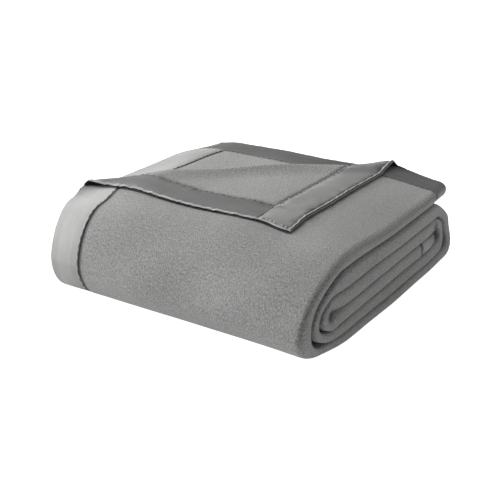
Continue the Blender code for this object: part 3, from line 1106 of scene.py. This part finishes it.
def painted_seam_shade(tree, place):
    """Painted shade: 1 on the open fleece, and dark in the groove along the binding and under the flap's
    front edge.
    """
    u, v, from_edge = edge_distance(tree, place)
    groove_start = BINDING_WIDTH + SEAM_GAP
    darkest = ranged(tree, v, *GROOVE_CHANGE, *GROOVE_SHADE_TONES)
    groove = ranged(tree, from_edge, groove_start, groove_start + GROOVE_WIDTH, darkest, 1.0)
    side, near_tip = CORNER_SIDE, CORNER_SIDE - BINDING_WIDTH
    edge = ranged(tree, u, near_tip, side, side, side + TIP_SKEW)
    past_edge = calculated(tree, "SUBTRACT", v, edge)
    beside_flap = ranged(tree, u, side, side + CONTACT_WIDTH, CONTACT_SHADE_TONE, 1.0)
    contact_shade = ranged(tree, past_edge, 0.0, CONTACT_WIDTH, beside_flap, 1.0)
    under = calculated(tree, "LESS_THAN", past_edge, -CONTACT_WIDTH)
    return calculated(tree, "MULTIPLY", groove, calculated(tree, "MAXIMUM", contact_shade, under))


def painted_shut_in_shade(tree):
    """Painted shade: 1 where the cloth is open to the light, and nearly black where it is shut in."""
    shut_in = add_node(tree, "ShaderNodeAttribute")
    shut_in.attribute_name = "shut_in"
    shade = add_node(tree, "ShaderNodeMapRange", Value=shut_in.outputs["Fac"])
    feed(shade, To_Min=1.0, To_Max=PAINTED_SHADE_TONE)
    return shade.outputs["Result"]


print("grooves are darkened over", round(1000 * GROOVE_WIDTH, 1), "mm")

# %% The fleece's finish
TUFT_STRETCH, STREAK_STRETCH = 0.62, 0.16
TUFTS, CLUMPS, STREAKS = 640.0, 240.0, 90.0  # fineness of each pattern
FLEECE_TONES = ((0.205, 0.205, 0.202), (0.425, 0.425, 0.419))
FAINT_TONES = ((0.95, 0.95, 0.95), (1.0, 1.0, 1.0))


def fleece_finish():
    """Matt brushed pile: a fine speckle, faint clumps and streaks, and a soft sheen."""
    material, tree, shader, place = cloth_material("plush_fleece")
    tufts = stretched(tree, place, TUFT_STRETCH)
    speckle = mottle(tree, tufts, TUFTS, broad=0.12)
    clumps = mottle(tree, tufts, CLUMPS, broad=0.35)
    streaks = mottle(tree, stretched(tree, place, STREAK_STRETCH), STREAKS)
    colour = toned(tree, speckle, *FLEECE_TONES, spread=0.14)
    patch = toned(tree, clumps, *FAINT_TONES, spread=0.12)
    streak = toned(tree, streaks, *FAINT_TONES, spread=0.12)
    # the last two darken the colour as painted shade
    colour = multiplied(tree, colour, patch, streak, painted_seam_shade(tree, place), painted_shut_in_shade(tree))
    normal = bumped(tree, clumps, Distance=0.0006, Strength=0.5)
    normal = bumped(tree, speckle, Distance=0.0014, Strength=1.0, Normal=normal)
    feed(shader, Base_Color=colour, Normal=normal, Roughness=0.92, Specular_IOR_Level=0.25)
    feed(shader, Sheen_Weight=0.25, Sheen_Roughness=0.45)
    return material


fleece.data.materials.append(fleece_finish())
print("finish of", fleece.name + ":", fleece.data.materials[0].name)

# %% [markdown]
# ## The satin tape
#
# Satin's threads float side by side across the tape, and they shine in a streak at right angles to the way
# they lie. So a tape that runs away from the camera is bright and one along the front is dark. Anisotropy
# does this, with its tangent taken from the flat place. The side and end tapes run at right angles, so the
# finish is made twice, with its directions swapped.

# %% The satin's finish
THREAD_STRETCH, HANDLED_STRETCH = 0.03, 0.35
THREADS, HANDLED = 900.0, 36.0
SATIN_TONES = ((0.258, 0.258, 0.255), (0.284, 0.284, 0.280))
HANDLED_TONES = ((0.80, 0.80, 0.80), (1.06, 1.06, 1.06))
# a painted highlight along the nose of the tape on the turned-back corner
ROLLED_EDGE = (0.0014, 0.0032)
EDGE_HIGHLIGHT_TONE, EDGE_HIGHLIGHT_FADE = 1.8, 0.02


def satin_finish(name, along_v):
    """Smooth and shiny across the tape, with a painted highlight on the rolled edge of the turned-back
    corner.
    """
    material, tree, shader, place = cloth_material(name)
    threads = mottle(tree, stretched(tree, place, THREAD_STRETCH, along_v), THREADS)
    handled = mottle(tree, stretched(tree, place, HANDLED_STRETCH, along_v), HANDLED)
    colour = toned(tree, threads, *SATIN_TONES, spread=0.15)
    patch = toned(tree, handled, *HANDLED_TONES, spread=0.14)
    u, v, _ = edge_distance(tree, place)
    # painted highlight: the nose of the tape on the turned-back corner is made paler
    pale = ranged(tree, v, CORNER_SIDE - EDGE_HIGHLIGHT_FADE, CORNER_SIDE, EDGE_HIGHLIGHT_TONE, 1.0)
    edge_highlight = ranged(tree, u, *ROLLED_EDGE, pale, 1.0)
    # the painted highlight and the painted shade go into the colour
    colour = multiplied(tree, colour, patch, edge_highlight, painted_shut_in_shade(tree))
    normal = bumped(tree, handled, Distance=0.0010, Strength=0.35)
    normal = bumped(tree, threads, Distance=0.0002, Strength=0.35, Normal=normal)
    tangent = add_node(tree, "ShaderNodeTangent")
    tangent.direction_type = "UV_MAP"
    tangent.uv_map = "flat"
    quarter_turns = 0.25 if along_v else 0.0
    feed(shader, Base_Color=colour, Normal=normal, Tangent=tangent.outputs["Tangent"], Metallic=0.60)
    feed(shader, Roughness=0.50, Anisotropic=0.95, Anisotropic_Rotation=quarter_turns)
    return material


side_satin = satin_finish("satin_side_tape", True)
end_satin = satin_finish("satin_end_tape", False)
for tape in (outer_side_tape, second_side_tape):
    tape.data.materials.append(side_satin)
for tape in (top_end_tape, core_end_tape):
    tape.data.materials.append(end_satin)
print("satin finishes:", side_satin.name, "and", end_satin.name)

# %% The thread's finish
TWIST = 1500.0


def thread_finish(name, dark, light):
    """Twisted thread between two tones."""
    material, tree, shader, place = cloth_material(name)
    twist = mottle(tree, place, TWIST)
    normal = bumped(tree, twist, Distance=0.0002, Strength=0.5)
    feed(shader, Base_Color=toned(tree, twist, dark, light, spread=0.1), Normal=normal, Roughness=0.6)
    return material


# the dark thread also gives the painted shade in the tip's needle holes
dark_thread_and_hole_shade = thread_finish("dark_thread_and_hole_shade", (0.015, 0.015, 0.015), (0.05, 0.05, 0.05))
pale_thread = thread_finish("pale_thread", (0.45, 0.45, 0.445), (0.62, 0.62, 0.61))
seams = (side_stitching, second_stitching, end_stitching, tip_hole_shade)
for piece in seams:
    piece.data.materials.append(dark_thread_and_hole_shade)
tip_stitching.data.materials.append(pale_thread)
print("threads:", dark_thread_and_hole_shade.name, "and", pale_thread.name)

# %% Tie the pieces to the frame
SIDE_TAPE_LENGTH = LENGTH - 2 * SIDE_START
SIDE_FLAT = (2 * BINDING_WIDTH, SIDE_TAPE_LENGTH)
END_FLAT = (2 * BINDING_WIDTH, WIDTH)
for piece, node, slot, flat in (
    (fleece, "fleece_panel", "fleece_grey", (WIDTH, LENGTH)),
    (outer_side_tape, "side_binding_outer_ply", "satin_grey", SIDE_FLAT),
    (second_side_tape, "side_binding_second_ply", "satin_grey", SIDE_FLAT),
    (top_end_tape, "end_binding_top", "satin_grey", END_FLAT),
    (core_end_tape, "end_binding_core", "satin_grey", END_FLAT),
):
    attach(piece, "root")
    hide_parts(node)
for piece in (*seams, tip_stitching):
    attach(piece, "root")
print("a side tape is cut", round(SIDE_TAPE_LENGTH, 3), "m long")

# %% [markdown]
# ## The studio
#
# The blanket lies on a plain white floor under soft light. Four large lights on the left, from low to
# overhead, light the top and make the satin that runs away from the camera shine. A low one at the front
# left fills the front face, and two weak ones at the right keep the wound end readable. The floor glows a
# little, so that the underside of the round isn't black, and the camera sees it as plain white.

# %% The floor
FLOOR_SIZE = 30
FLOOR_TONE = (0.35, 0.35, 0.35, 1)
FLOOR_GLOW, FLOOR_WHITE = 0.43, 1.05
WHITE = (1, 1, 1, 1)


def seen_level(tree, falling, seen):
    """How bright a surface is: one level falls on the cloth, and another is seen by the camera."""
    ray = add_node(tree, "ShaderNodeLightPath").outputs["Is Camera Ray"]
    return add_node(tree, "ShaderNodeMapRange", Value=ray, To_Min=falling, To_Max=seen).outputs["Result"]


bpy.ops.mesh.primitive_plane_add(size=FLOOR_SIZE, location=(0, 0, 0))
floor = bpy.context.active_object
floor.name = "studio_floor"
floor_white, floor_tree, floor_shader = new_material("studio_white")
feed(floor_shader, Base_Color=FLOOR_TONE, Roughness=0.9, Emission_Color=WHITE)
feed(floor_shader, Emission_Strength=seen_level(floor_tree, FLOOR_GLOW, FLOOR_WHITE))
floor.data.materials.append(floor_white)
print("floor:", FLOOR_SIZE, "m wide")

# %% The room
ROOM_GLOW, ROOM_WHITE = 0.08, 1.0
world = bpy.data.worlds.new("studio")
bpy.context.scene.world = world
world.use_nodes = True
room = world.node_tree.nodes["Background"]
feed(room, Color=WHITE, Strength=seen_level(world.node_tree, ROOM_GLOW, ROOM_WHITE))
print("the room glows at", ROOM_GLOW, "and looks white")

# %% The lights
LIGHT_DISTANCE, LIGHT_SIZE = 2.0, 1.3
PILE_MIDDLE = Vector((0, 0, 0.06))
LIGHTS = (  # name, direction from the pile, watts
    ("left_window", (-0.82, 0, 0.57), 23.2),
    ("back_left_window", (-0.58, 0.58, 0.57), 8.0),
    ("overhead_left", (-0.43, 0.10, 0.88), 16.8),
    ("low_left", (-0.99, 0, 0.14), 29.0),
    ("front_left_fill", (-0.70, -0.70, 0.14), 26.3),
    ("right_fill", (0.99, 0, 0.14), 4.0),
    ("back_right_fill", (0.70, 0.70, 0.14), 8.0),
)


def hang(thing, direction, distance, middle):
    """Places a light or the camera in this direction from a middle point, facing it."""
    thing.location = direction * distance + middle
    thing.rotation_euler = (-direction).to_track_quat("-Z", "Y").to_euler()


for name, direction, power in LIGHTS:
    light = add_object(name, bpy.data.lights.new(name, "AREA"))
    light.data.size = LIGHT_SIZE
    light.data.energy = power
    light.visible_camera = False
    hang(light, Vector(direction).normalized(), LIGHT_DISTANCE, PILE_MIDDLE)
print(len(LIGHTS), "lights,", round(sum(power for _, _, power in LIGHTS), 1), "watts")

# %% The camera
CAMERA_AZIMUTH, CAMERA_ELEVATION = 30.79, 20.98
CAMERA_DISTANCE = 1.2571
CAMERA_FOCAL_LENGTH = 79.93  # mm, on a 36 mm wide picture
CAMERA_TARGET = Vector((0.0873, -0.1560, 0.1036))
azimuth, elevation = radians(CAMERA_AZIMUTH), radians(CAMERA_ELEVATION)
back = Vector((sin(azimuth) * cos(elevation), -cos(azimuth) * cos(elevation), sin(elevation)))
camera = add_object("camera", bpy.data.cameras.new("camera"))
camera.data.lens = CAMERA_FOCAL_LENGTH
hang(camera, back, CAMERA_DISTANCE, CAMERA_TARGET)
bpy.context.scene.camera = camera
bpy.context.scene.view_settings.view_transform = "Standard"
print("camera at", [round(place, 3) for place in camera.location])
